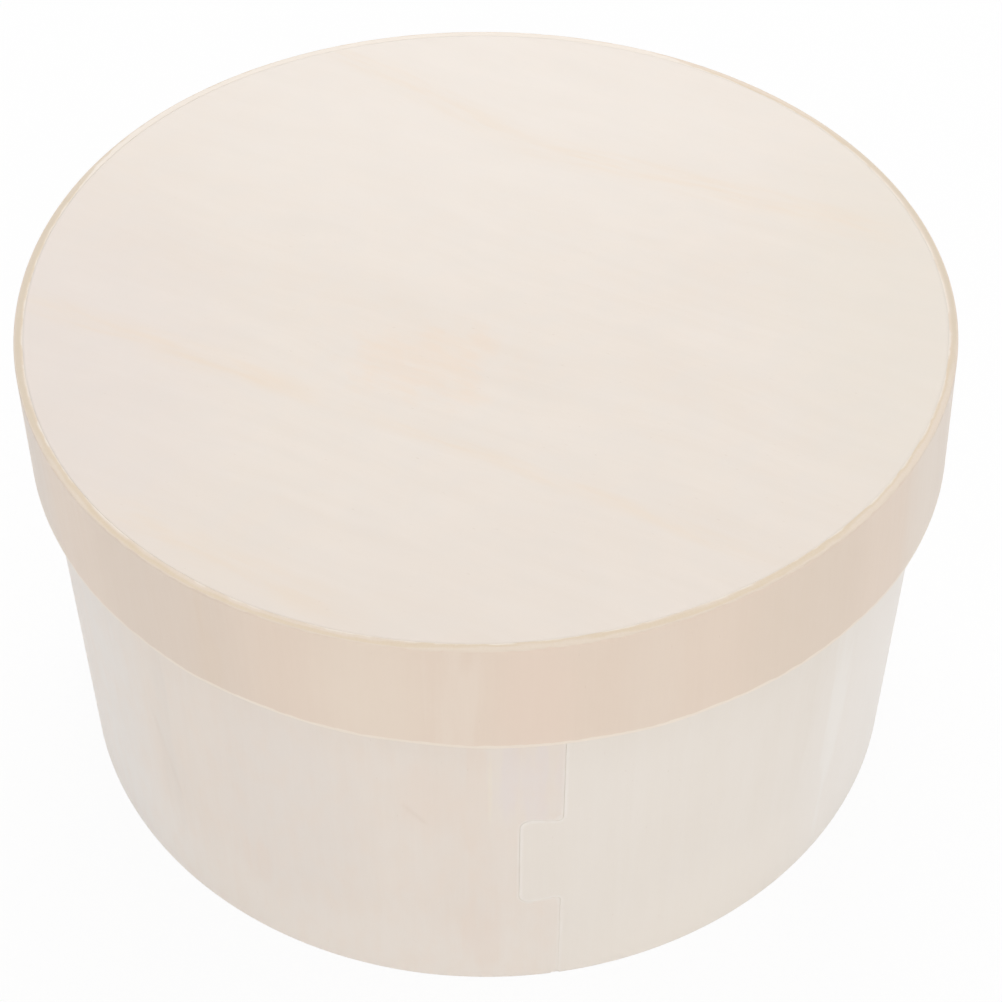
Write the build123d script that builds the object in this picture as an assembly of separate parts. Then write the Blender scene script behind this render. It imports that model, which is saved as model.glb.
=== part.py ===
from build123d import *
import os

# A round cheese box of pale bent wood with a lift-off lid. Lengths are in millimetres, angles in degrees.
# The origin is the middle of the foot and +Z is up. -Y is the front, where the base strip's seam shows.
# Each half is a strip bent into a hoop, its two ends locked together, with a round panel glued inside it.

# The whole box
box_diameter = 200.0
box_height = 112.0

# The lid's strip and panel
lid_strip_height = 28.2
lid_strip_thickness = 2.0
lid_panel_thickness = 3.0
lid_panel_recess = 0.3

# The base's strip and panel
base_strip_thickness = 2.0
base_panel_thickness = 3.0
base_panel_recess = 0.5

# Fits: the lid slides over the base strip with this play all round, and a glue line holds each panel
lid_play = 1.5
glue_line = 0.1

# Softened edges, never more than a share of the thickness that they are on
strip_edge_radius = 0.4
panel_edge_radius = 0.3
softest_edge_share = 0.45

# The saw cut between the locked ends of a strip
seam_kerf = 0.2

# The base strip's seam: its right-hand end has one dovetail tab, below the lid
base_seam_angle = 8.8
base_tab_middle = 42.2
base_tab_depth = 8.7
base_tab_root_height = 26.0
base_tab_tip_height = 29.4
base_tab_root_radius = 1.2
base_tab_tip_radius = 2.5

# The lid strip's seam, at the back
lid_seam_angle = 172.0
lid_tab_depth = 8.0
lid_tab_root_height = 8.0
lid_tab_tip_height = 10.0
lid_tab_root_radius = 0.8
lid_tab_tip_radius = 1.5

# A cut runs this far past what it cuts
overrun = 1.0

# Sizes that follow from those above
lid_outer_radius = box_diameter / 2
lid_inner_radius = lid_outer_radius - lid_strip_thickness
lid_panel_radius = lid_inner_radius - glue_line
lid_panel_bottom = box_height - lid_panel_recess - lid_panel_thickness
lid_strip_bottom = box_height - lid_strip_height

base_outer_radius = lid_inner_radius - lid_play
base_inner_radius = base_outer_radius - base_strip_thickness
base_panel_radius = base_inner_radius - glue_line
base_strip_top = lid_panel_bottom


def softened(radius, thickness):
    """The edge radius, kept to what the thickness can take."""
    return min(radius, softest_edge_share * thickness)


def hoop(outer_radius, thickness, bottom, top):
    """A strip bent into a closed hoop that stands on its edge."""
    middle = Pos(outer_radius - thickness / 2, (bottom + top) / 2)
    section = middle * Rectangle(thickness, top - bottom)
    section = fillet(section.vertices(), softened(strip_edge_radius, thickness))
    return revolve(Plane.XZ * section, Axis.Z)


def panel(radius, thickness, bottom):
    """A round flat panel with a softened rim."""
    disc = Pos(0, 0, bottom) * Cylinder(radius, thickness, align=(Align.CENTER, Align.CENTER, Align.MIN))
    rims = disc.edges().filter_by(GeomType.CIRCLE)
    return fillet(rims, softened(panel_edge_radius, thickness))


def seam_cut(angle, reach, low, high, middle, depth, heights, radii):
    """The saw cut of a seam, seen from outside: straight up, out to the left round one tab, and up again.

    The angle is counted from the front towards +X, and heights and radii are the tab's at its root and tip.
    """
    half_root = heights[0] / 2
    half_tip = heights[1] / 2
    path = FilletPolyline(
        (0, low - overrun),
        (0, middle - half_root),
        (-depth, middle - half_tip),
        (-depth, middle + half_tip),
        (0, middle + half_root),
        (0, high + overrun),
        radius=[radii[0], radii[1], radii[1], radii[0]],
    )
    blade = extrude(Plane.XZ * trace(path, seam_kerf), reach + overrun)
    return Rot(0, 0, angle) * blade


def base_strip():
    """The tall strip round the base, seated on its lower edge."""
    strip = hoop(base_outer_radius, base_strip_thickness, 0, base_strip_top)
    return strip - seam_cut(
        base_seam_angle,
        base_outer_radius,
        0,
        base_strip_top,
        base_tab_middle,
        base_tab_depth,
        (base_tab_root_height, base_tab_tip_height),
        (base_tab_root_radius, base_tab_tip_radius),
    )


def lid_strip():
    """The short strip round the lid, a little wider than the base strip that it slides over."""
    strip = hoop(lid_outer_radius, lid_strip_thickness, lid_strip_bottom, box_height)
    return strip - seam_cut(
        lid_seam_angle,
        lid_outer_radius,
        lid_strip_bottom,
        box_height,
        (lid_strip_bottom + box_height) / 2,
        lid_tab_depth,
        (lid_tab_root_height, lid_tab_tip_height),
        (lid_tab_root_radius, lid_tab_tip_radius),
    )


def base_panel():
    """The bottom, held a little above the foot."""
    return panel(base_panel_radius, base_panel_thickness, base_panel_recess)


def lid_panel():
    """The lid's top, a little below its strip's edge. Its underside rests on the base strip."""
    return panel(lid_panel_radius, lid_panel_thickness, lid_panel_bottom)


nodes = {
    "base_band": base_strip(),
    "base_disc": base_panel(),
    "lid_band": lid_strip(),
    "lid_disc": lid_panel(),
}

os.makedirs("parts", exist_ok=True)
for name, shape in nodes.items():
    export_step(shape, f"parts/{name}.step")
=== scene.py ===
"""A round cheese box of pale bent wood with a lift-off lid, dressed for its picture.

Shapes are worked out in millimetres and made in metres. An angle on the box is in degrees from the front
(-Y) towards +X. A strip is drawn unrolled: s runs along its outer face from its seam, in that same direction,
and z is the height. A panel is drawn in x and y.
"""

import math
from collections import namedtuple

import bpy
import numpy as np
from mathutils import Matrix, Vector
from mathutils.geometry import delaunay_2d_cdt


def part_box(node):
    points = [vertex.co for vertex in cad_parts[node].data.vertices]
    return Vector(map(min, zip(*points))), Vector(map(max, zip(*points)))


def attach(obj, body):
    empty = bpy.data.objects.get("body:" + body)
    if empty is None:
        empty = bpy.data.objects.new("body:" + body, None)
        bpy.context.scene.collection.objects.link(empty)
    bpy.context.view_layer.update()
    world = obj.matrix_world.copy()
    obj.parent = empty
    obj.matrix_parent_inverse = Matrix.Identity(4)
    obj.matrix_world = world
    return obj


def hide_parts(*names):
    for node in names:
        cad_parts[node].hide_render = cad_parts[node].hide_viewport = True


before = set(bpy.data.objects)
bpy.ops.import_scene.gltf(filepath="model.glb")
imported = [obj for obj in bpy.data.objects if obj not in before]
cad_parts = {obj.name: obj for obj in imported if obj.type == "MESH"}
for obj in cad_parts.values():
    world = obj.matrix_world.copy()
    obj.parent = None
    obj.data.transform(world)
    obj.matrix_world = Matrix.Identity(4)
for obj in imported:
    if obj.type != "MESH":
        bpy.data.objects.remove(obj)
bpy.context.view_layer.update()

MM = 0.001

# Thicknesses and softened edges. The glue line round a panel and the saw cut of a seam are filled, but for a
# trace, and the lid's panel rises to its strip's edge
BASE_THICKNESS = 2.0
LID_THICKNESS = 1.9
GLUE_LINE = 0.01
SEAM_KERF = 0.02
OUTER_RADIUS = 0.35
INNER_RADIUS = 0.02
PANEL_RADIUS = 0.015
LID_TOP_RISE = 0.3

# The seam's softened edges: their radius, the height over which they open up, and their least share low down
KERF_ROUND = 0.12
KERF_CLOSING = 45.0
KERF_LEAST_SHARE = 0.25

# How fine the meshes are, and the gaps from an edge at which rows of points follow it
RIM_STEP = 1.2
SEAM_STEP = 0.7
GRID_ALONG = 2.2
GRID_UP = 2.6
PANEL_GRID = 2.6
CLEAR_OF_ROWS = 0.8
CORNER_STEPS = 6
CRISP_CORNER = 60.0
MERGE_WITHIN = 1e-5
RIM_ROWS = (0.06, 0.17, 0.35, 0.75)
KERF_ROWS = (0.035, 0.07, 0.12, 0.3)
PANEL_ROWS = (0.015, 0.5)
EDGE_SHARES = (0.0, 0.18, 0.34, 0.5, 0.66, 0.82, 1.0)

Tab = namedtuple("Tab", "middle depth root_height tip_height root_radius tip_radius")
Strip = namedtuple(
    "Strip", "radius low high thickness seam_angle tab sway foot_wave nick_depth kerf_share seed"
)

BASE_TAB = Tab(42.2, 8.7, 26.0, 29.4, 1.2, 2.5)
LID_TAB = Tab(97.9, 8.0, 8.0, 10.0, 0.8, 1.5)
BASE_SEAM_ANGLE = 8.8
LID_SEAM_ANGLE = 172.0

# The lid is a little out of round, as bent wood is: waves round its edge, as number, height and place of peak
LID_TOP_MEAN = -0.53
LID_TOP_WAVES = ((1, 0.67, -119.0), (2, 0.63, -3.0), (3, 0.54, -20.5), (4, 0.15, -35.0), (5, 0.06, 5.0))
LID_FOOT_MEAN = -0.29
LID_FOOT_WAVES = ((1, 0.26, 69.0), (2, 0.25, 52.0), (3, 0.17, 52.0), (4, 0.13, -19.0))
BASE_SWAY = 0.12
BASE_SWAY_PEAKS = 3
BASE_SWAY_TURN = 40.0

# The lid strip's lower edge was cut by hand: its height wanders by this much, over this reach above it
LID_CUT_WAVES = ((20, 0.15, 10.0), (7, 0.12, -14.0), (33, 0.04, 3.0))
CUT_REACH = 5.0

# Sanding wears an edge unevenly, with small nicks where a random curve rises over a level, and long dips. The
# depths are in millimetres, and the knots say how many points each curve goes through
BASE_NICK_DEPTH = 0.08
LID_NICK_DEPTH = 0.04
NICK_KNOTS = 190
NICK_LEVEL = 0.4
DIP_KNOTS = 60
DIP_SHARE = 0.4


def wave(angle, mean, waves):
    """How far an edge lies outside its circle at an angle."""
    total = mean + 0.0 * angle
    for number, height, peak in waves:
        total = total + height * np.cos(np.radians(number * (angle - peak)))
    return total


def lid_sway(angle, share):
    """The lid strip's departure from its circle, from its lower edge (share 0) to its top (share 1)."""
    foot = wave(angle, LID_FOOT_MEAN, LID_FOOT_WAVES)
    top = wave(angle, LID_TOP_MEAN, LID_TOP_WAVES)
    return foot + (top - foot) * share


def base_sway(angle, share):
    """The base strip is near enough round: a faint flatness here and there, never outside its circle."""
    turn = np.cos(np.radians(BASE_SWAY_PEAKS * angle - BASE_SWAY_TURN)) * np.cos(math.pi * share)
    return -BASE_SWAY * (1 + turn) / 2


def ripple(along, length, knots, seed):
    """A smooth random curve between -1 and 1 that closes on itself after the length."""
    values = np.random.default_rng(seed).uniform(-1, 1, knots)
    at = along / length * knots
    first = np.floor(at).astype(int)
    t = at - first
    t = t * t * (3 - 2 * t)
    return values[first % knots] * (1 - t) + values[(first + 1) % knots] * t


def split_run(start, end, step):
    """Points from start up to but not including end, no more than a step apart."""
    count = max(1, math.ceil(np.linalg.norm(np.subtract(end, start)) / step))
    return [np.add(start, np.subtract(end, start) * i / count) for i in range(count)]


def rounded(corners, radii, step):
    """A line through the corners, each inner one rounded, as points no more than a step apart."""
    corners = [np.array(c, float) for c in corners]
    line = [corners[0]]
    for before, corner, after, radius in zip(corners, corners[1:], corners[2:], radii):
        back = (before - corner) / np.linalg.norm(before - corner)
        on = (after - corner) / np.linalg.norm(after - corner)
        half = math.acos(np.clip(back @ on, -1, 1)) / 2
        middle = (back + on) / np.linalg.norm(back + on)
        centre = corner + middle * radius / math.sin(half)
        start = corner + back * radius / math.tan(half)
        end = corner + on * radius / math.tan(half)
        line += split_run(line.pop(), start, step)
        turn = math.pi - 2 * half
        for i in range(CORNER_STEPS):
            a = turn * i / CORNER_STEPS
            spoke = (math.sin(turn - a) * (start - centre) + math.sin(a) * (end - centre)) / math.sin(turn)
            line.append(centre + spoke)
        line.append(end)
    line += split_run(line.pop(), corners[-1], step)
    return np.array(line + [corners[-1]])


def beside(line, gap):
    """The line moved sideways, to its left for a positive gap, which is towards smaller s where it rises."""
    run = np.diff(line, axis=0)
    run /= np.linalg.norm(run, axis=1)[:, None]
    left = np.stack([-run[:, 1], run[:, 0]], 1)
    before = np.vstack([left[:1], left])
    after = np.vstack([left, left[-1:]])
    mean = before + after
    mean /= np.linalg.norm(mean, axis=1)[:, None]
    return line + mean * (gap / (mean * before).sum(1))[:, None]


def distance_to(points, line):
    """Each point's distance to a line of many points."""
    best = np.full(len(points), np.inf)
    for a, b in zip(line, line[1:]):
        ab = b - a
        t = np.clip(((points - a) @ ab) / (ab @ ab), 0, 1)
        best = np.minimum(best, np.linalg.norm(points - a - t[:, None] * ab, axis=1))
    return best


def seam_line(strip):
    """The seam from the strip's lower edge to its top: up, out to the left round the tab, and up again."""
    tab = strip.tab
    root, tip = tab.root_height / 2, tab.tip_height / 2
    corners = (
        (0, strip.low),
        (0, tab.middle - root),
        (-tab.depth, tab.middle - tip),
        (-tab.depth, tab.middle + tip),
        (0, tab.middle + root),
        (0, strip.high),
    )
    radii = (tab.root_radius, tab.tip_radius, tab.tip_radius, tab.root_radius)
    return rounded(corners, radii, SEAM_STEP)


class Pattern:
    """A flat outline with rows of points inside it, cut into triangles."""

    def __init__(self, outline):
        self.points = [tuple(p) for p in outline]
        self.face = list(range(len(self.points)))
        self.edges = []

    def row(self, line, closed=False):
        """A line that the triangles' sides must follow."""
        first = len(self.points)
        self.points += [tuple(p) for p in line]
        ids = list(range(first, len(self.points)))
        self.edges += list(zip(ids, ids[1:]))
        if closed:
            self.edges.append((ids[-1], ids[0]))

    def fill(self, points):
        self.points += [tuple(p) for p in points]

    def cut(self):
        """The points, and the triangles as rows of three numbers, each counted anticlockwise."""
        found = delaunay_2d_cdt(self.points, self.edges, [self.face], 1, MERGE_WITHIN)
        points = np.array([tuple(p) for p in found[0]])
        triangles = np.array(found[2])
        a, b, c = (points[triangles[:, i]] for i in range(3))
        ab, ac = b - a, c - a
        area = ab[:, 0] * ac[:, 1] - ab[:, 1] * ac[:, 0]
        triangles[area < 0] = triangles[area < 0][:, ::-1]
        return points, triangles


def round_over(gap, radius):
    """How far a softened edge falls away at a gap from it."""
    inside = np.clip(radius - gap, 0, radius)
    return radius - np.sqrt(radius**2 - inside**2)


def grid(low, high, steps):
    """Points of an even grid inside a rectangle."""
    counts = [max(1, round((h - l) / s)) for l, h, s in zip(low, high, steps)]
    u, v = (np.linspace(l, h, n + 1) for l, h, n in zip(low, high, counts))
    return np.stack(np.meshgrid(u, v), -1).reshape(-1, 2)


def around(angle, radius, z):
    """A place on the box, in millimetres."""
    a = np.radians(angle)
    return np.stack([radius * np.sin(a), -radius * np.cos(a), z], 1)


def bearing_of(points):
    """The angle on the box of each place in x and y."""
    return np.degrees(np.arctan2(points[:, 0], -points[:, 1]))


def open_edges(triangles):
    """The sides that only one triangle has, in that triangle's order."""
    sides = np.vstack([triangles[:, [0, 1]], triangles[:, [1, 2]], triangles[:, [2, 0]]])
    keys = np.sort(sides, axis=1)
    _, first, counts = np.unique(keys, axis=0, return_index=True, return_counts=True)
    return sides[first[counts == 1]]


def fill_map(mesh, name, places):
    """Adds a map that holds places in metres, one for each corner of each face."""
    layer = mesh.uv_layers.new(name=name)
    layer.uv.foreach_set("vector", (places * MM).astype(np.float32).ravel())


def edge_rows(sides, count):
    """The edge's four-sided faces, one row of points after another from the face to the back.

    It also gives the numbers of the points that lie on the rim.
    """
    rim = np.unique(sides)
    rows = np.zeros((len(EDGE_SHARES), count), int)
    rows[0] = np.arange(count)
    rows[-1] = count + np.arange(count)
    for i in range(1, len(EDGE_SHARES) - 1):
        rows[i, rim] = 2 * count + (i - 1) * len(rim) + np.arange(len(rim))
    a, b = sides.T
    quads = np.stack([rows[:-1, b], rows[:-1, a], rows[1:, a], rows[1:, b]], -1)
    return quads.transpose(1, 0, 2).reshape(-1, 4), rim


def edge_map(sides, along, depth):
    """For each corner of the edge's faces, its place along the edge and across it."""
    a, b = sides.T
    levels = np.array(EDGE_SHARES) * depth
    u = np.stack([along[b], along[a], along[a], along[b]], -1)
    v = np.stack([levels[:-1], levels[:-1], levels[1:], levels[1:]], -1)
    u, v = np.broadcast_arrays(u[:, None], v[None])
    return np.stack([u, v], -1).reshape(-1, 2)


def plate(name, flat, triangles, face, back, along, depth, seam_gaps=None):
    """A solid sheet from a flat pattern: its face, its back and the narrow edge that joins them.

    The map named grain holds the pattern's own places in metres, and on the edge the way along and across it.
    The map named seam holds each place's distance to the two sides of the seam.
    """
    count = len(flat)
    sides = open_edges(triangles)
    quads, rim = edge_rows(sides, count)
    between = [face[rim] * (1 - share) + back[rim] * share for share in EDGE_SHARES[1:-1]]
    points = np.vstack([face, back, *between]) * MM
    reverse = triangles[:, ::-1]
    faces = triangles.tolist() + (reverse + count).tolist() + quads.tolist()

    mesh = bpy.data.meshes.new(name)
    mesh.from_pydata(points.tolist(), [], faces)
    corners = np.concatenate([triangles.ravel(), reverse.ravel()])
    fill_map(mesh, "grain", np.vstack([flat[corners], edge_map(sides, along, depth)]))
    if seam_gaps is not None:
        fill_map(mesh, "seam", np.vstack([seam_gaps[corners], np.zeros((quads.size, 2))]))
    slots = np.repeat([0, 1, 2], [len(triangles), len(triangles), len(quads)])
    mesh.polygons.foreach_set("material_index", slots.astype(np.int32))
    mesh.polygons.foreach_set("use_smooth", np.ones(len(faces), bool))
    mesh.update()
    mesh.set_sharp_from_angle(angle=math.radians(CRISP_CORNER))
    piece = bpy.data.objects.new(name, mesh)
    bpy.context.scene.collection.objects.link(piece)
    return piece


def unrolled(strip):
    """The strip laid flat, with its seam's two sides, as points, triangles and those sides."""
    length = 2 * math.pi * strip.radius
    half = SEAM_KERF / 2
    seam = seam_line(strip)
    start = beside(seam, -half)
    end = beside(seam, half) + (length, 0)
    bottom = split_run(start[0], end[0], RIM_STEP)
    top = split_run(end[-1], start[-1], RIM_STEP)
    pattern = Pattern(bottom + list(end[:-1]) + top + list(start[:0:-1]))
    inset = half + KERF_ROWS[-1] + KERF_ROUND
    for gap in RIM_ROWS:
        for z in (strip.low + gap, strip.high - gap):
            pattern.row(split_run((inset, z), (length - inset, z), RIM_STEP))
    for gap in KERF_ROWS:
        for line in (beside(seam, -half - gap), beside(seam, half + gap) + (length, 0)):
            clear = (line[:, 1] > strip.low + RIM_ROWS[-1]) & (line[:, 1] < strip.high - RIM_ROWS[-1])
            pattern.row(line[clear])
    margin = RIM_ROWS[-1] + CLEAR_OF_ROWS
    low, high = (-strip.tab.depth, strip.low + margin), (length, strip.high - margin)
    points = grid(low, high, (GRID_ALONG, GRID_UP))
    seam_gap = np.minimum(distance_to(points, start), distance_to(points, end))
    pattern.fill(points[seam_gap > KERF_ROWS[-1] + CLEAR_OF_ROWS])
    return (*pattern.cut(), start, end)


def worn_height(strip, s, z):
    """The height of each place of the strip, with its edges worn by sanding and its foot cut by hand."""
    length = 2 * math.pi * strip.radius
    angle = strip.seam_angle + np.degrees(s / strip.radius)
    nicks = np.clip(ripple(s, length, NICK_KNOTS, strip.seed) - NICK_LEVEL, 0, 1)
    dips = DIP_SHARE * ripple(s, length, DIP_KNOTS, strip.seed + 1) ** 2
    near_rim = np.clip(1 - np.minimum(z - strip.low, strip.high - z) / RIM_ROWS[-1], 0, 1)
    inwards = np.where(z > (strip.low + strip.high) / 2, -1.0, 1.0)
    near_foot = np.clip(1 - (z - strip.low) / CUT_REACH, 0, 1)
    wear = inwards * strip.nick_depth * (nicks + dips) * near_rim
    return z + wear + wave(angle, 0.0, strip.foot_wave) * near_foot


def bent_strip(name, strip):
    """A strip bent round, its ends meeting at the seam, with softened and slightly worn edges."""
    flat, triangles, start, end = unrolled(strip)
    s, z = flat.T
    angle = strip.seam_angle + np.degrees(s / strip.radius)
    rim_gap = np.minimum(z - strip.low, strip.high - z)
    seam_gaps = np.stack([distance_to(flat, start), distance_to(flat, end)], 1)
    opened = np.clip((z - strip.low) / KERF_CLOSING, KERF_LEAST_SHARE, 1) * strip.kerf_share
    kerf_drop = round_over(seam_gaps.min(axis=1), KERF_ROUND) * opened
    outer_drop = np.maximum(round_over(rim_gap, OUTER_RADIUS), kerf_drop)
    inner_drop = np.maximum(round_over(rim_gap, INNER_RADIUS), kerf_drop)
    radius = strip.radius + strip.sway(angle, (z - strip.low) / (strip.high - strip.low))
    height = worn_height(strip, s, z)
    face = around(angle, radius - outer_drop, height)
    back = around(angle, radius - strip.thickness + inner_drop, height)
    return plate(name, flat, triangles, face, back, s + z, strip.thickness, seam_gaps)


def round_panel(name, low, high, radius_at):
    """A flat round panel whose rim follows the strip that it is glued in."""
    reach = radius_at(0.0)
    ring = np.linspace(-180, 180, round(2 * math.pi * reach / RIM_STEP) + 1)[:-1]

    def circle(gap):
        return around(ring, radius_at(ring) - gap, 0 * ring)[:, :2]

    pattern = Pattern(circle(0))
    for gap in PANEL_ROWS:
        pattern.row(circle(gap), closed=True)
    points = grid((-reach, -reach), (reach, reach), (PANEL_GRID, PANEL_GRID))
    inside = np.hypot(*points.T) < radius_at(bearing_of(points)) - PANEL_ROWS[-1] - CLEAR_OF_ROWS
    pattern.fill(points[inside])
    flat, triangles = pattern.cut()
    bearing = bearing_of(flat)
    gap = np.clip(radius_at(bearing) - np.hypot(*flat.T), 0, None)
    drop = round_over(gap, PANEL_RADIUS)
    face = np.column_stack([flat, high - drop])
    back = np.column_stack([flat, low + drop])
    return plate(name, flat, triangles, face, back, np.radians(bearing) * reach, high - low)


# Colours as they look on a screen, 0 to 255
LID_TOP_PALE = (237, 227, 217)
LID_TOP_WARM = (230, 217, 204)
LID_TOP_DIM = (232, 223, 214)
LID_TOP_STREAK = (236, 217, 196)
LID_TOP_KNOT = (238, 217, 197)
LID_BAND_PALE = (229, 211, 194)
LID_BAND_WARM = (223, 203, 185)
# A painted highlight along the lid strip's lower edge
LID_BAND_FOOT_HIGHLIGHT = (236, 223, 208)
LID_BAND_HEAD = (229, 213, 196)
LID_EDGE_PALE = (231, 216, 200)
LID_EDGE_WARM = (224, 206, 181)
LID_EDGE_DULL = (215, 202, 184)
# The rim's back: the panel's colour made a little paler, as a painted sheen
LID_RIM_PALE_SHEEN = (241, 231, 220)
BASE_CLOUD = (232, 211, 193)
# Paler wood beside the base's seam, partly a painted highlight, and along its foot and head
BASE_EDGE = (236, 229, 221)
BASE_LEFT_PALE = (233, 223, 213)
BASE_LEFT_WARM = (227, 214, 202)
BASE_RIGHT_PALE = (234, 226, 217)
BASE_RIGHT_WARM = (229, 219, 207)
INSIDE_PALE = (231, 220, 206)
INSIDE_WARM = (222, 206, 187)
SPECK_COLOUR = (188, 163, 138)
SCRATCH_COLOUR = (203, 182, 163)
WHITE = (255, 255, 255)


def linear(colour):
    """A screen colour as the scene's own numbers."""
    values = [c / 255 for c in colour]
    return tuple(v / 12.92 if v <= 0.04045 else ((v + 0.055) / 1.055) ** 2.4 for v in values) + (1.0,)


class Nodes:
    """Short calls that add nodes to one node tree."""

    def __init__(self, tree):
        self.tree = tree

    def join(self, value, socket):
        if isinstance(value, bpy.types.NodeSocket):
            self.tree.links.new(value, socket)
        else:
            socket.default_value = value

    def math(self, operation, a, b=0.0):
        node = self.tree.nodes.new("ShaderNodeMath")
        node.operation = operation
        self.join(a, node.inputs[0])
        self.join(b, node.inputs[1])
        return node.outputs[0]

    def add(self, *values):
        total = values[0]
        for value in values[1:]:
            total = self.math("ADD", total, value)
        return total

    def times(self, *values):
        total = values[0]
        for value in values[1:]:
            total = self.math("MULTIPLY", total, value)
        return total

    def ramp(self, value, low, high, to_low=0.0, to_high=1.0):
        """A smooth change from one level to another as a value goes from low to high."""
        node = self.tree.nodes.new("ShaderNodeMapRange")
        node.interpolation_type = "SMOOTHSTEP"
        self.join(value, node.inputs["Value"])
        for name, number in zip(("From Min", "From Max", "To Min", "To Max"), (low, high, to_low, to_high)):
            node.inputs[name].default_value = number
        return node.outputs[0]

    def shader(self, kind, colour, strength=None):
        """A plain shader of one colour, and of one strength if it shines."""
        node = self.tree.nodes.new(kind)
        node.inputs["Color"].default_value = colour
        if strength is not None:
            node.inputs["Strength"].default_value = strength
        return node.outputs[0]

    def blend(self, share, first, second):
        node = self.tree.nodes.new("ShaderNodeMixShader")
        for value, socket in zip((share, first, second), node.inputs):
            self.join(value, socket)
        return node.outputs[0]


# An uneven pattern: the size of its spots across and along in millimetres, how detailed it is, where it
# starts, the two levels of its noise between which it changes, and what it gives there
Uneven = namedtuple(
    "Uneven", "across along detail start low high least most", defaults=(0.0, 0.3, 0.7, 0.0, 1.0)
)


class Paint(Nodes):
    """A material of bare wood, painted by its nodes in the places of the map named grain."""

    SPECULAR = 0.5
    SHEEN_ROUGHNESS = 0.5

    def __init__(self, name, roughness, sheen=0.0):
        self.material = bpy.data.materials.new(name)
        self.material.use_nodes = True
        super().__init__(self.material.node_tree)
        self.principled = self.tree.nodes["Principled BSDF"]
        self.principled.inputs["Roughness"].default_value = roughness
        self.principled.inputs["Specular IOR Level"].default_value = self.SPECULAR
        self.principled.inputs["Sheen Weight"].default_value = sheen
        self.principled.inputs["Sheen Roughness"].default_value = self.SHEEN_ROUGHNESS
        self.u, self.v = self.read_map("grain")

    def read_map(self, name):
        """The two numbers that a map holds at the place being shaded."""
        place = self.tree.nodes.new("ShaderNodeUVMap")
        place.uv_map = name
        parts = self.tree.nodes.new("ShaderNodeSeparateXYZ")
        self.join(place.outputs[0], parts.inputs[0])
        return parts.outputs[0], parts.outputs[1]

    def noise(self, u, v, pattern):
        """The pattern's plain noise, from 0 to 1."""
        place = self.tree.nodes.new("ShaderNodeCombineXYZ")
        self.join(self.add(self.times(u, 1 / (pattern.across * MM)), pattern.start), place.inputs[0])
        self.join(self.times(v, 1 / (pattern.along * MM)), place.inputs[1])
        node = self.tree.nodes.new("ShaderNodeTexNoise")
        node.noise_dimensions = "2D"
        node.inputs["Scale"].default_value = 1.0
        node.inputs["Detail"].default_value = pattern.detail
        self.join(place.outputs[0], node.inputs["Vector"])
        return node.outputs[0]

    def spread(self, noise, pattern):
        """Plain noise brought to the levels that the pattern gives."""
        return self.ramp(noise, pattern.low, pattern.high, pattern.least, pattern.most)

    def uneven(self, u, v, pattern):
        return self.spread(self.noise(u, v, pattern), pattern)

    def mix(self, share, first, second):
        """Two colours mixed. The node's sockets for colours come after those for numbers and places."""
        node = self.tree.nodes.new("ShaderNodeMix")
        node.data_type = "RGBA"
        share_socket, first_socket, second_socket = node.inputs[0], node.inputs[6], node.inputs[7]
        self.join(share, share_socket)
        for socket, colour in ((first_socket, first), (second_socket, second)):
            self.join(linear(colour) if isinstance(colour, tuple) else colour, socket)
        return node.outputs[2]

    def bump(self, height, distance):
        node = self.tree.nodes.new("ShaderNodeBump")
        node.inputs["Strength"].default_value = 1.0
        node.inputs["Distance"].default_value = distance * MM
        self.join(height, node.inputs["Height"])
        self.join(node.outputs[0], self.principled.inputs["Normal"])

    def finish(self, colour):
        self.join(colour, self.principled.inputs["Base Color"])
        return self.material


# The wood's own pattern: soft bands, streaks, fibres, a mottle and broad bands, all drawn out along the grain
WOOD_LAYERS = (
    Uneven(9.0, 150.0, 2.0, 0.0, 0.3, 0.7, -0.2, 0.2),
    Uneven(2.4, 60.0, 3.0, 3.1, 0.3, 0.7, -0.12, 0.12),
    Uneven(0.5, 14.0, 2.0, 7.7, 0.3, 0.7, -0.09, 0.09),
    Uneven(18.0, 26.0, 3.0, 1.9, 0.3, 0.7, -0.16, 0.16),
    Uneven(42.0, 420.0, 1.0, 5.7, 0.3, 0.7, -0.22, 0.22),
)
MIDDLE_TONE = 0.4
PORES = Uneven(0.55, 1.9, 1.0, 12.3, 0.79, 0.91)
PORE_SHADE = 0.22

# The wood's relief in millimetres, made of fibres and a share of ridges. Their noises' sum also sets the
# roughness: the two levels between which that changes, and what it is there
FIBRES = Uneven(0.45, 9.0, 3.0, 5.0)
RIDGES = Uneven(2.0, 30.0, 2.0)
RIDGE_SHARE = 0.6
WOOD_RELIEF = 0.008
WOOD_GLOSS = (0.7, 1.3, 0.68, 0.54)


def wood_tone(paint, across, along, strength=1.0):
    """From 0, pale, to 1, warm."""
    layers = [paint.uneven(across, along, layer) for layer in WOOD_LAYERS]
    return paint.add(paint.times(paint.add(*layers), strength), MIDDLE_TONE)


def finish_wood(paint, tone, pale, warm, across, along, pore_shade=PORE_SHADE):
    """The wood's colour, with pores in it. It also sets the fibres' relief and an uneven gloss."""
    colour = paint.mix(tone, pale, warm)
    pores = paint.times(paint.uneven(across, along, PORES), pore_shade)
    colour = paint.mix(pores, colour, SPECK_COLOUR)
    fibres = paint.noise(across, along, FIBRES)
    ridges = paint.noise(across, along, RIDGES)
    paint.bump(paint.add(fibres, paint.times(ridges, RIDGE_SHARE)), WOOD_RELIEF)
    paint.join(paint.ramp(paint.add(fibres, ridges), *WOOD_GLOSS), paint.principled.inputs["Roughness"])
    return colour


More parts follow.
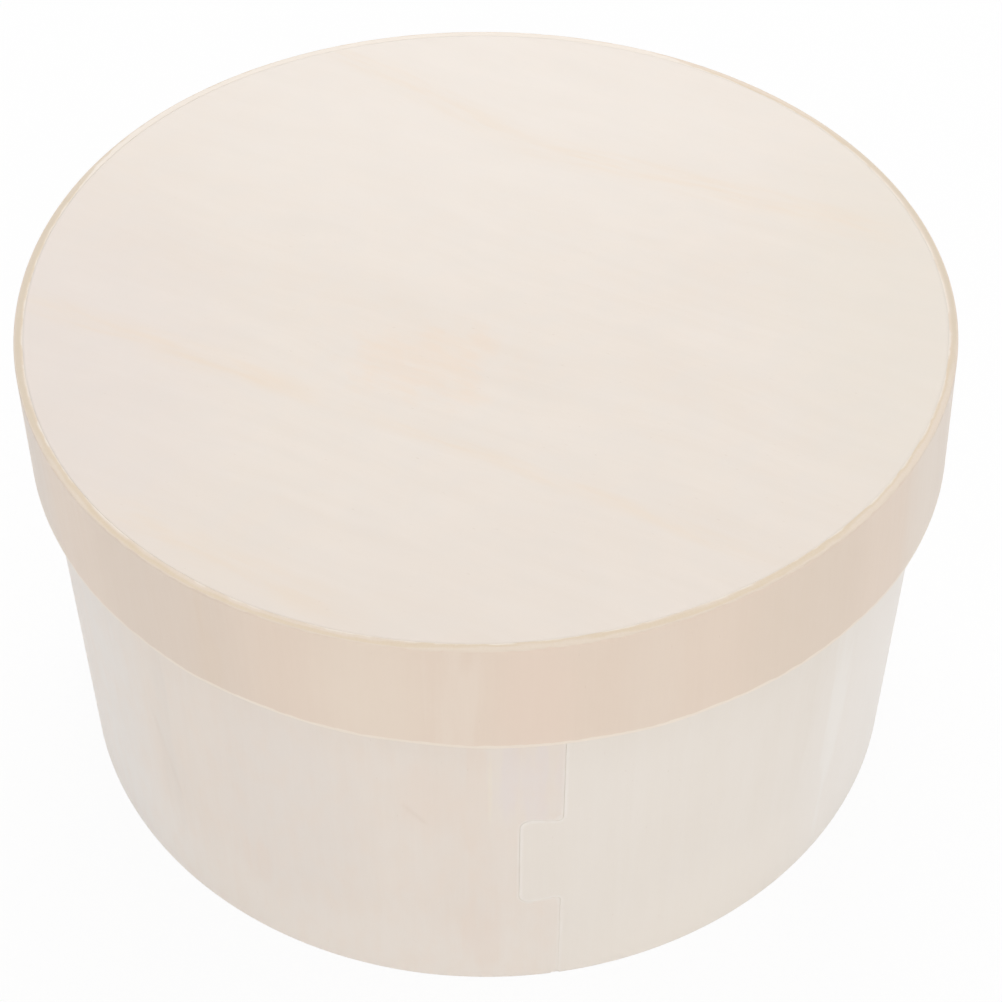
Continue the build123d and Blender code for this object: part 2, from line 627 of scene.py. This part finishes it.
def patch(paint, centre, half, wobble=None):
    """A soft-edged patch, 1 at its centre: its middle and half sizes are in millimetres."""
    du = paint.times(paint.add(paint.u, -centre[0] * MM), 1 / (half[0] * MM))
    dv = paint.times(paint.add(paint.v, -centre[1] * MM), 1 / (half[1] * MM))
    span = paint.add(paint.times(du, du), paint.times(dv, dv))
    if wobble is not None:
        span = paint.add(span, wobble)
    return paint.ramp(span, 1.0, 0.0)


def turned(paint, angle):
    """The ways across and along a grain that runs at an angle to the pattern's u."""
    c, s = math.cos(math.radians(angle)), math.sin(math.radians(angle))
    along = paint.add(paint.times(paint.u, c), paint.times(paint.v, s))
    across = paint.add(paint.times(paint.u, -s), paint.times(paint.v, c))
    return across, along


# A streak is made of fine broken lines, and fades over a share of its length at each end
STREAK_LINES = Uneven(2.2, 16.0, 4.0, 0.0, 0.35, 0.7, 0.35, 1.0)
STREAK_FADE_SHARE = 0.25


def streak(paint, start, end, width, wobble):
    """A streak between two places of the pattern, fading at its ends and sides."""
    start, end = np.array(start), np.array(end)
    length = np.linalg.norm(end - start)
    way = (end - start) / length
    du = paint.add(paint.u, -start[0] * MM)
    dv = paint.add(paint.v, -start[1] * MM)
    along = paint.add(paint.times(du, way[0]), paint.times(dv, way[1]))
    across = paint.add(paint.times(du, -way[1]), paint.times(dv, way[0]), wobble)
    lines = paint.uneven(across, along, STREAK_LINES._replace(start=float(start[0])))
    body = paint.ramp(paint.math("ABSOLUTE", across), width * MM, 0.0)
    fade_in = paint.ramp(along, 0.0, STREAK_FADE_SHARE * length * MM)
    fade_out = paint.ramp(along, length * MM, (1 - STREAK_FADE_SHARE) * length * MM)
    return paint.times(body, lines, fade_in, fade_out)


# The marks on the lid's top: the two ends, half the width and the strength of each streak, and the share of
# the grain's wandering that they follow
TOP_GRAIN_ANGLE = -27.0
TOP_STREAK_WANDER = 0.5
TOP_STREAKS = (
    ((-106, 3), (-24, -38), 5.0, 0.45),
    ((-74, -17), (-38, -32), 4.0, 0.25),
    ((-36, -32), (62, -83), 3.6, 0.4),
    ((-44, 97), (16, 50), 7.0, 0.34),
    ((-2, 59), (99, 15), 8.0, 0.42),
    ((-80, -58), (-20, -95), 6.0, 0.4),
)

# The knot's middle and half sizes, its ragged edge and wavy lines, and the strengths of its cloud and lines
KNOT_PLACE = (-11.6, -22.5)
KNOT_HALF = (20.0, 15.0)
KNOT_RAGGED = Uneven(5.0, 8.0, 3.0, 6.2, 0.2, 0.8, -0.4, 0.4)
KNOT_LINES = Uneven(1.6, 9.0, 2.0, 8.1)
KNOT_CLOUD_STRENGTH = 0.25
KNOT_LINE_STRENGTH = 0.22

# Painted light and shade on the top: a place and half sizes in millimetres, a colour and a strength
# The paler, greyer back is a painted sheen; the darker left, right and front are painted shade
TOP_PAINTED_LIGHT_AND_SHADE = (
    ((0.0, 85.0), (130.0, 95.0), (238, 230, 222), 0.5),
    ((-100.0, -30.0), (60.0, 90.0), (230, 219, 213), 0.5),
    ((100.0, -10.0), (50.0, 90.0), (231, 223, 211), 0.5),
    ((10.0, -100.0), (110.0, 50.0), (232, 220, 209), 0.35),
)

# The top's grain wanders sideways, its wood is more even and a little paler, and dim clouds lie on it
TOP_WANDER = Uneven(30.0, 90.0, 2.0, 4.4, 0.2, 0.8, -3 * MM, 3 * MM)
TOP_CLOUDS = Uneven(9.0, 7.0, 4.0, 21.0, 0.35, 0.7, 0.0, 0.45)
TOP_CONTRAST = 0.36
TOP_PALENESS = 0.08
TOP_PORE_SHADE = 0.25
TOP_ROUGHNESS = 0.6
TOP_SHEEN = 0.06


def knot_mark(paint, across, along):
    """A warm clouded patch with wavy lines in it, where a knot lies under the surface."""
    ragged = paint.uneven(across, along, KNOT_RAGGED)
    cloud = patch(paint, KNOT_PLACE, KNOT_HALF, ragged)
    lines = paint.uneven(paint.add(across, paint.times(ragged, MM)), along, KNOT_LINES)
    return paint.times(cloud, paint.add(KNOT_CLOUD_STRENGTH, paint.times(lines, KNOT_LINE_STRENGTH)))


def top_streaks(paint, wander):
    """All the warm streaks of the top."""
    total = 0.0
    for start, end, width, strength in TOP_STREAKS:
        mark = streak(paint, start, end, width, paint.times(wander, TOP_STREAK_WANDER))
        total = paint.add(total, paint.times(mark, strength))
    return total


def lid_top_wood():
    paint = Paint("lid_top_wood", TOP_ROUGHNESS, TOP_SHEEN)
    straight, along = turned(paint, TOP_GRAIN_ANGLE)
    wander = paint.uneven(straight, along, TOP_WANDER)
    across = paint.add(straight, wander)
    tone = paint.add(wood_tone(paint, across, along, TOP_CONTRAST), -TOP_PALENESS)
    colour = finish_wood(paint, tone, LID_TOP_PALE, LID_TOP_WARM, across, along, TOP_PORE_SHADE)
    colour = paint.mix(paint.uneven(paint.u, paint.v, TOP_CLOUDS), colour, LID_TOP_DIM)
    # The top is painted paler at the back, a painted sheen, and darker at its sides and front, painted shade
    for centre, half, tint, strength in TOP_PAINTED_LIGHT_AND_SHADE:
        colour = paint.mix(paint.times(patch(paint, centre, half), strength), colour, tint)
    colour = paint.mix(top_streaks(paint, wander), colour, LID_TOP_STREAK)
    return paint.finish(paint.mix(knot_mark(paint, across, along), colour, LID_TOP_KNOT))


# Marks on the strips, some of them painted light and shade as noted beside them: an angle and a height on the
# box, half sizes in millimetres, a colour and a strength
BASE_MARKS_AND_PAINTED_LIGHT = (
    # The next three rows are painted light: a paler foot, where light bounced off the floor falls
    ((-20.0, -6.0), (150.0, 34.0), (236, 228, 219), 0.45),
    ((38.0, -6.0), (66.0, 40.0), (238, 229, 218), 0.6),
    ((-56.0, 6.0), (34.0, 34.0), (236, 229, 222), 0.5),
    # Painted light: a paler upright band on the right side
    ((60.0, 24.0), (36.0, 90.0), (239, 233, 227), 0.47),
    # Painted sheen: a paler, greyer right side
    ((103.0, 50.0), (88.0, 150.0), (237, 230, 223), 0.5),
    ((-25.0, 48.0), (22.0, 46.0), (225, 216, 208), 0.45),
    ((-44.0, 52.0), (5.0, 34.0), (222, 213, 204), 0.3),
    # Painted sheen: a pale upright streak on the left side
    ((-56.0, 50.0), (16.0, 80.0), (231, 226, 221), 0.45),
    # Painted sheen: a paler, greyer left side
    ((-100.0, 50.0), (90.0, 150.0), (232, 226, 220), 0.55),
    ((4.5, 68.0), (7.5, 17.0), (229, 218, 212), 0.8),
    ((0.1, 66.0), (0.6, 16.0), (236, 226, 208), 0.35),
    ((-1.6, 60.0), (3.5, 34.0), (231, 214, 199), 0.3),
    ((-7.0, 63.0), (9.0, 14.0), (231, 212, 196), 0.3),
    ((-31.0, 25.0), (7.0, 8.0), (230, 212, 198), 0.25),
    ((-0.5, 16.0), (6.0, 15.0), (231, 213, 199), 0.35),
    # Painted highlight: a whitish upright streak on the right
    ((49.7, 62.0), (4.0, 60.0), (241, 237, 231), 0.4),
    ((43.0, 55.0), (3.0, 34.0), (228, 218, 206), 0.3),
)
LID_MARKS_AND_PAINTED_SHADE = (
    ((-13.0, 97.0), (14.0, 30.0), (231, 215, 198), 0.6),
    ((-38.0, 97.0), (26.0, 60.0), (218, 202, 187), 0.6),
    ((-32.5, 97.0), (5.0, 30.0), (221, 200, 178), 0.3),
    ((-3.8, 97.0), (5.5, 30.0), (232, 217, 202), 0.45),
    ((5.0, 97.0), (10.0, 26.0), (230, 208, 191), 0.5),
    ((18.0, 97.0), (8.0, 30.0), (228, 212, 196), 0.4),
    ((38.0, 97.0), (21.0, 40.0), (219, 202, 184), 0.5),
    ((62.0, 95.0), (13.0, 50.0), (228, 216, 203), 0.6),
    # The last two rows are painted shade: darker upright bands towards the lid band's left and right sides
    ((-70.0, 97.0), (20.0, 80.0), (216, 205, 194), 0.5),
    ((74.0, 97.0), (18.0, 80.0), (220, 208, 195), 0.5),
)

# Marks narrower than this, in millimetres, have ragged edges
SOFT_MARK = 8.0
MARK_RAGGED = Uneven(3.5, 30.0, 3.0, 2.7, 0.25, 0.75, -0.5, 0.5)

# Fine dark lines on the base strip: the angle and height of both ends, half the width and the strength
BASE_SCRATCHES = (
    ((-47.2, 60.0), (-42.3, 28.0), 1.5, 0.13),
    ((-10.6, 61.0), (-7.1, 54.0), 1.3, 0.16),
)

# Beside the seam the wood is painted paler, partly as sanding and partly as a painted highlight on the seam's
# rounded edges: from each of its sides, where that starts, where it is full, in millimetres, and how strong
# it is
SEAM_SANDED_AND_HIGHLIGHT = ((1.0, 0.3, 0.95), (0.7, 0.25, 0.55))
SEAM_UNEVEN = Uneven(1.5, 6.0, 3.0, 11.0, 0.3, 0.7, 0.4, 1.0)

# A strip's tones change over this stretch of its length, and clouds lie on its later part. The paler lines
# along its foot and head wander up and down, and are at their fullest past a share of their height
BAND_TONE_CHANGE = (0.3, 0.7)
BAND_CLOUDS = Uneven(4.0, 9.0, 5.0, 15.0, 0.35, 0.8, 0.0, 0.18)
LINE_WANDER = Uneven(4.0, 40.0, 3.0, 9.4, 0.3, 0.7, -0.14 * MM, 0.14 * MM)
FOOT_CORE_SHARE = 0.75
HEAD_CORE_SHARE = 0.5
BAND_CONTRAST = 0.33
BAND_ROUGHNESS = 0.6
BAND_SHEEN = 0.3

# How a strip's outer face looks: its pale and warm tones early and late on its way round from the seam, its
# marks, some of them painted light and shade, and scratches, the colours of its clouds and of the paler wood
# beside its seam, partly a painted highlight, and the colour and height of the paler lines along its foot and
# head, of which the lid's foot line is a painted highlight
BandLook = namedtuple("BandLook", "name early late marks scratches clouds seam_edge foot head")

BASE_LOOK = BandLook(
    name="base_band_wood",
    early=(BASE_RIGHT_PALE, BASE_RIGHT_WARM),
    late=(BASE_LEFT_PALE, BASE_LEFT_WARM),
    marks=BASE_MARKS_AND_PAINTED_LIGHT,
    scratches=BASE_SCRATCHES,
    clouds=BASE_CLOUD,
    seam_edge=BASE_EDGE,
    foot=(BASE_EDGE, 0.3),
    head=(BASE_EDGE, 0.3),
)
LID_LOOK = BandLook(
    name="lid_band_wood",
    early=(LID_BAND_PALE, LID_BAND_WARM),
    late=(LID_BAND_PALE, LID_BAND_WARM),
    marks=LID_MARKS_AND_PAINTED_SHADE,
    scratches=(),
    clouds=None,
    seam_edge=LID_BAND_HEAD,
    # The foot line is a painted highlight
    foot=(LID_BAND_FOOT_HIGHLIGHT, 1.1),
    head=(LID_BAND_HEAD, 0.2),
)


def place_on(strip, angle, z):
    """A place on the unrolled strip, from an angle and a height on the box."""
    return math.radians((angle - strip.seam_angle) % 360) * strip.radius, z


def marked(paint, colour, strip, look):
    """The colour with the strip's soft marks and fine scratches on it; some of the soft marks are painted
    light and shade.
    """
    ragged = paint.uneven(paint.u, paint.v, MARK_RAGGED)
    for place, half, tint, strength in look.marks:
        spot = patch(paint, place_on(strip, *place), half, ragged if half[0] < SOFT_MARK else None)
        colour = paint.mix(paint.times(spot, strength), colour, tint)
    for start, end, width, strength in look.scratches:
        line = streak(paint, place_on(strip, *start), place_on(strip, *end), width, 0.0)
        colour = paint.mix(paint.times(line, strength), colour, SCRATCH_COLOUR)
    return colour


def seam_paling_and_highlight(paint, colour, seam_edge):
    """The colour with the paler wood beside the seam: partly sanding, partly a painted highlight on its
    rounded edges.
    """
    shares = [
        paint.ramp(gap, outer * MM, inner * MM, 0.0, most)
        for gap, (outer, inner, most) in zip(paint.read_map("seam"), SEAM_SANDED_AND_HIGHLIGHT)
    ]
    seam_paling = paint.times(paint.math("MAXIMUM", *shares), paint.uneven(paint.u, paint.v, SEAM_UNEVEN))
    return paint.mix(seam_paling, colour, seam_edge)


def edge_lines(paint, colour, strip, look):
    """The colour with the thin paler lines along the strip's foot and head. On the lid, the foot line is a
    painted highlight.
    """
    height = paint.add(paint.v, paint.uneven(paint.u, paint.v, LINE_WANDER))
    foot_colour, foot = look.foot
    head_colour, head = look.head
    at_foot = paint.ramp(height, (strip.low + foot) * MM, (strip.low + foot * FOOT_CORE_SHARE) * MM)
    at_head = paint.ramp(height, (strip.high - head) * MM, (strip.high - head * HEAD_CORE_SHARE) * MM)
    return paint.mix(at_head, paint.mix(at_foot, colour, foot_colour), head_colour)


def band_wood(strip, look):
    """Wood with an upright grain, from one pair of tones past the seam to another before it."""
    paint = Paint(look.name, BAND_ROUGHNESS, BAND_SHEEN)
    tone = wood_tone(paint, paint.u, paint.v, BAND_CONTRAST)
    length = 2 * math.pi * strip.radius * MM
    late = paint.ramp(paint.u, *(share * length for share in BAND_TONE_CHANGE))
    pale, warm = (paint.mix(late, first, last) for first, last in zip(look.early, look.late))
    colour = finish_wood(paint, tone, pale, warm, paint.u, paint.v)
    colour = marked(paint, colour, strip, look)
    if look.clouds is not None:
        clouds = paint.times(paint.uneven(paint.u, paint.v, BAND_CLOUDS), late)
        colour = paint.mix(clouds, colour, look.clouds)
    colour = seam_paling_and_highlight(paint, colour, look.seam_edge)
    return paint.finish(edge_lines(paint, colour, strip, look))


# A sheet's narrow edge: thin layers along it, a roughness of its cut fibres, and a golden layer whose middle
# wanders across it and whose sides are ragged
EDGE_LAYERS = Uneven(0.35, 60.0, 1.0, 2.0, 0.3, 0.7, -0.08, 0.12)
EDGE_ENDS = Uneven(0.4, 1.5, 3.0, 0.0, 0.3, 0.7, -0.08, 0.1)
EDGE_RAGGED = Uneven(5.0, 3.0, 3.0, 5.5, 0.3, 0.7, -0.25 * MM, 0.25 * MM)
GOLDEN_MIDDLE = Uneven(75.0, 90.0, 1.0, 3.3, 0.35, 0.65, 0.2 * MM, 1.8 * MM)
GOLDEN_FADES_AT = 1.1
GOLDEN_CORE = 0.2
GOLDEN_LEAST = 0.1
GOLDEN_MOST = 0.8
EDGE_RELIEF = 0.02
PLAIN_ROUGHNESS = 0.65

# The lid's rim: angle and half length in millimetres of its dull stretches, where across the rim they set in
# and are full, how much of their length is at its fullest, and their strength
RIM_DULL = ((-92.0, 80.0), (100.0, 65.0))
RIM_DULL_FADE = (1.7, 0.9)
RIM_DULL_CORE_SHARE = 0.3
RIM_DULL_STRENGTH = 0.6

# The angles between which the rim takes the panel's colour, made a little paler as a painted sheen, from
# where that starts at its inner side to where it reaches the outer side, with the width that is golden
# elsewhere
RIM_GOLDEN_WIDTH = 1.75
RIM_PALE_LEFT = (-102.0, -131.0)
RIM_PALE_RIGHT = (145.0, 158.0)
RIM_PALE_SOFTNESS = 0.35
RIM_PALE_STRENGTH = 0.95


def edge_wood(name, rim=None):
    """The narrow edge of a sheet: golden in a layer of its own, and paler and a little ragged beside that."""
    paint = Paint(name, PLAIN_ROUGHNESS)
    layers = paint.noise(paint.v, paint.u, EDGE_LAYERS)
    ends = paint.noise(paint.u, paint.v, EDGE_ENDS)
    ragged = paint.uneven(paint.u, paint.v, EDGE_RAGGED)
    middle = paint.uneven(paint.u, paint.v, GOLDEN_MIDDLE)
    off_layer = paint.math("ABSOLUTE", paint.add(paint.v, ragged, paint.times(middle, -1.0)))
    golden = paint.ramp(off_layer, GOLDEN_FADES_AT * MM, GOLDEN_CORE * MM, GOLDEN_LEAST, GOLDEN_MOST)
    tone = paint.add(paint.spread(layers, EDGE_LAYERS), paint.spread(ends, EDGE_ENDS), golden)
    paint.bump(paint.add(layers, ends), EDGE_RELIEF)
    colour = paint.mix(tone, LID_EDGE_PALE, LID_EDGE_WARM)
    if rim is not None:
        colour = rim_tones(paint, colour, rim, ragged)
    return paint.finish(colour)


def rim_tones(paint, colour, strip, ragged):
    """The lid's rim has dull stretches at its sides, and at the back it takes the panel's colour, made a
    little paler as a painted sheen.
    """

    def along(angle):
        return (place_on(strip, angle, 0.0)[0] + strip.high) * MM

    inner, outer = RIM_DULL_FADE
    outer_side = paint.ramp(paint.v, inner * MM, outer * MM)
    for angle, half in RIM_DULL:
        away = paint.math("ABSOLUTE", paint.add(paint.u, -along(angle)))
        dull = paint.ramp(away, half * MM, RIM_DULL_CORE_SHARE * half * MM, 0.0, RIM_DULL_STRENGTH)
        colour = paint.mix(paint.times(dull, outer_side), colour, LID_EDGE_DULL)
    inner, outer = RIM_PALE_LEFT
    left = paint.ramp(paint.u, along(outer), along(inner), 0.0, RIM_GOLDEN_WIDTH * MM)
    inner, outer = RIM_PALE_RIGHT
    right = paint.ramp(paint.u, along(inner), along(outer), 1.0, 0.0)
    past_golden = paint.add(paint.v, ragged, paint.times(left, right, -1.0))
    soft = RIM_PALE_SOFTNESS * MM
    # At the back the rim is painted a little paler than the panel: painted sheen
    return paint.mix(paint.ramp(past_golden, -soft, soft, 0.0, RIM_PALE_STRENGTH), colour, LID_RIM_PALE_SHEEN)


def plain_wood(name, grain_angle):
    """The wood of the sides that the picture doesn't show, its grain straight."""
    paint = Paint(name, PLAIN_ROUGHNESS)
    across, along = turned(paint, grain_angle)
    tone = wood_tone(paint, across, along)
    return paint.finish(finish_wood(paint, tone, INSIDE_PALE, INSIDE_WARM, across, along))


def dress(piece, body, node, *materials):
    """Gives a piece its materials, hangs it on the body it rides on, and hides the solid it stands for."""
    for material in materials:
        piece.data.materials.append(material)
    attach(piece, body)
    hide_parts(node)


def extent(node):
    """A solid's largest radius and its lowest and highest place, in millimetres."""
    low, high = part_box(node)
    return high.x / MM, low.z / MM, high.z / MM


def make_strip(node, **details):
    radius, low, high = extent(node)
    return Strip(radius=radius, low=low, high=high, **details)


def base_strip():
    return make_strip(
        "base_band",
        thickness=BASE_THICKNESS,
        seam_angle=BASE_SEAM_ANGLE,
        tab=BASE_TAB,
        sway=base_sway,
        foot_wave=(),
        nick_depth=BASE_NICK_DEPTH,
        kerf_share=1.0,
        seed=11,
    )


def lid_strip():
    return make_strip(
        "lid_band",
        thickness=LID_THICKNESS,
        seam_angle=LID_SEAM_ANGLE,
        tab=LID_TAB,
        sway=lid_sway,
        foot_wave=LID_CUT_WAVES,
        nick_depth=LID_NICK_DEPTH,
        kerf_share=0.2,
        seed=21,
    )


def build_box():
    base, lid = base_strip(), lid_strip()
    inside = plain_wood("inside_wood", grain_angle=90.0)
    edges = edge_wood("edge_wood")
    rim = edge_wood("lid_rim_wood", lid)
    base_outer = band_wood(base, BASE_LOOK)
    lid_outer = band_wood(lid, LID_LOOK)
    plain = plain_wood("panel_wood", grain_angle=0.0)

    dress(bent_strip("base_strip", base), "base", "base_band", base_outer, inside, edges)
    dress(bent_strip("lid_strip", lid), "lid", "lid_band", lid_outer, inside, rim)

    top_share = (extent("lid_disc")[2] - lid.low) / (lid.high - lid.low)

    def lid_panel_radius(angle):
        return lid.radius - lid.thickness - GLUE_LINE + lid_sway(angle, top_share)

    def base_panel_radius(angle):
        return base.radius - base.thickness - GLUE_LINE + base_sway(angle, 0.0)

    _, low, high = extent("lid_disc")
    top = round_panel("lid_top", low, high + LID_TOP_RISE, lid_panel_radius)
    dress(top, "lid", "lid_disc", lid_top_wood(), plain, edges)
    _, low, high = extent("base_disc")
    bottom = round_panel("base_bottom", low, high, base_panel_radius)
    dress(bottom, "base", "base_disc", plain, plain, edges)


# The camera, found from the picture's outlines: its place in millimetres, its turn in degrees and its lens
CAMERA_PLACE = (-0.5, -345.3, 396.65)
CAMERA_DOWN = 45.15
CAMERA_YAW = 0.603
CAMERA_ROLL = 0.199
PICTURE_SIDE_PX = 1002
FOCAL_LENGTH_PX = 2107.6
SENSOR = 36.0
CLIP_START = 0.01


def make_camera():
    camera = bpy.data.cameras.new("camera")
    camera.sensor_width = SENSOR
    camera.lens = FOCAL_LENGTH_PX / PICTURE_SIDE_PX * SENSOR
    camera.clip_start = CLIP_START
    turn = (
        Matrix.Rotation(-math.radians(CAMERA_YAW), 4, "Z")
        @ Matrix.Rotation(math.radians(90 - CAMERA_DOWN), 4, "X")
        @ Matrix.Rotation(math.radians(CAMERA_ROLL), 4, "Z")
    )
    holder = bpy.data.objects.new("camera", camera)
    bpy.context.scene.collection.objects.link(holder)
    holder.matrix_world = Matrix.Translation([c * MM for c in CAMERA_PLACE]) @ turn
    bpy.context.scene.camera = holder


# The world's light, and the floor: its side in metres, how far it lies below the box in millimetres, its
# colour where it catches light, how much of its shading shows, and over which distances in metres that fades
WORLD_LEVEL = 0.45
FLOOR_SIDE = 6.0
FLOOR_DROP = 0.02
FLOOR_GREY = (0.95, 0.95, 0.95, 1.0)
FLOOR_SHADE = 0.08
FLOOR_FADE = (0.4, 1.6)


def shown_white(nodes):
    """1 for rays from the camera and for mirrored or bent ones, which see the plain white background."""
    path = nodes.tree.nodes.new("ShaderNodeLightPath")
    total = path.outputs["Is Camera Ray"]
    for name in ("Is Glossy Ray", "Is Transmission Ray"):
        total = nodes.math("MAXIMUM", total, path.outputs[name])
    return total


def make_world():
    world = bpy.data.worlds.new("world")
    bpy.context.scene.world = world
    world.use_nodes = True
    nodes = Nodes(world.node_tree)
    nodes.tree.nodes.remove(nodes.tree.nodes["Background"])
    light = nodes.shader("ShaderNodeBackground", linear(WHITE), WORLD_LEVEL)
    white = nodes.shader("ShaderNodeBackground", linear(WHITE), 1.0)
    surface = nodes.tree.nodes["World Output"].inputs["Surface"]
    nodes.join(nodes.blend(shown_white(nodes), light, white), surface)


def distance_from_box(nodes):
    place = nodes.tree.nodes.new("ShaderNodeNewGeometry")
    reach = nodes.tree.nodes.new("ShaderNodeVectorMath")
    reach.operation = "LENGTH"
    nodes.join(place.outputs["Position"], reach.inputs[0])
    return reach.outputs["Value"]


def floor_white():
    """Nearly plain white, with a trace of the light and shadow on it close to the box."""
    material = bpy.data.materials.new("floor_white")
    material.use_nodes = True
    nodes = Nodes(material.node_tree)
    nodes.tree.nodes.remove(nodes.tree.nodes["Principled BSDF"])
    matt = nodes.shader("ShaderNodeBsdfDiffuse", FLOOR_GREY)
    white = nodes.shader("ShaderNodeEmission", linear(WHITE), 1.0)
    plain = nodes.ramp(distance_from_box(nodes), *FLOOR_FADE, 1 - FLOOR_SHADE, 1.0)
    share = nodes.times(shown_white(nodes), plain)
    surface = nodes.tree.nodes["Material Output"].inputs["Surface"]
    nodes.join(nodes.blend(share, matt, white), surface)
    return material


def make_floor():
    half = FLOOR_SIDE / 2
    mesh = bpy.data.meshes.new("floor")
    corners = [(-half, -half, 0), (half, -half, 0), (half, half, 0), (-half, half, 0)]
    mesh.from_pydata(corners, [], [(0, 1, 2, 3)])
    mesh.materials.append(floor_white())
    floor = bpy.data.objects.new("floor", mesh)
    floor.location.z = -FLOOR_DROP * MM
    bpy.context.scene.collection.objects.link(floor)


# Soft round lamps: distance in metres, angle round the box, height angle, width in metres and power in watts
Lamp = namedtuple("Lamp", "name distance angle height size power")

LAMPS = (
    Lamp("overhead", 1.6, 20.0, 82.0, 1.4, 5.8),
    Lamp("front", 1.6, 2.0, 8.0, 1.2, 9.2),
    Lamp("left", 1.8, -80.0, 12.0, 1.2, 2.6),
    Lamp("right", 1.8, 85.0, 12.0, 1.2, 3.6),
    Lamp("back", 1.1, 178.0, 50.0, 0.8, 4.2),
)
LAMP_TARGET = (0.0, 0.0, 0.05)


def make_lamp(lamp):
    light = bpy.data.lights.new(lamp.name, "AREA")
    light.shape = "DISK"
    light.size = lamp.size
    light.energy = lamp.power
    holder = bpy.data.objects.new(lamp.name, light)
    bpy.context.scene.collection.objects.link(holder)
    a, h = math.radians(lamp.angle), math.radians(lamp.height)
    way = (math.sin(a) * math.cos(h), -math.cos(a) * math.cos(h), math.sin(h))
    turn = Matrix.Rotation(a, 4, "Z") @ Matrix.Rotation(math.pi / 2 - h, 4, "X")
    place = [t + w * lamp.distance for t, w in zip(LAMP_TARGET, way)]
    holder.matrix_world = Matrix.Translation(place) @ turn


make_camera()
make_world()
make_floor()
for lamp in LAMPS:
    make_lamp(lamp)
build_box()

bpy.context.scene.view_settings.view_transform = "Standard"
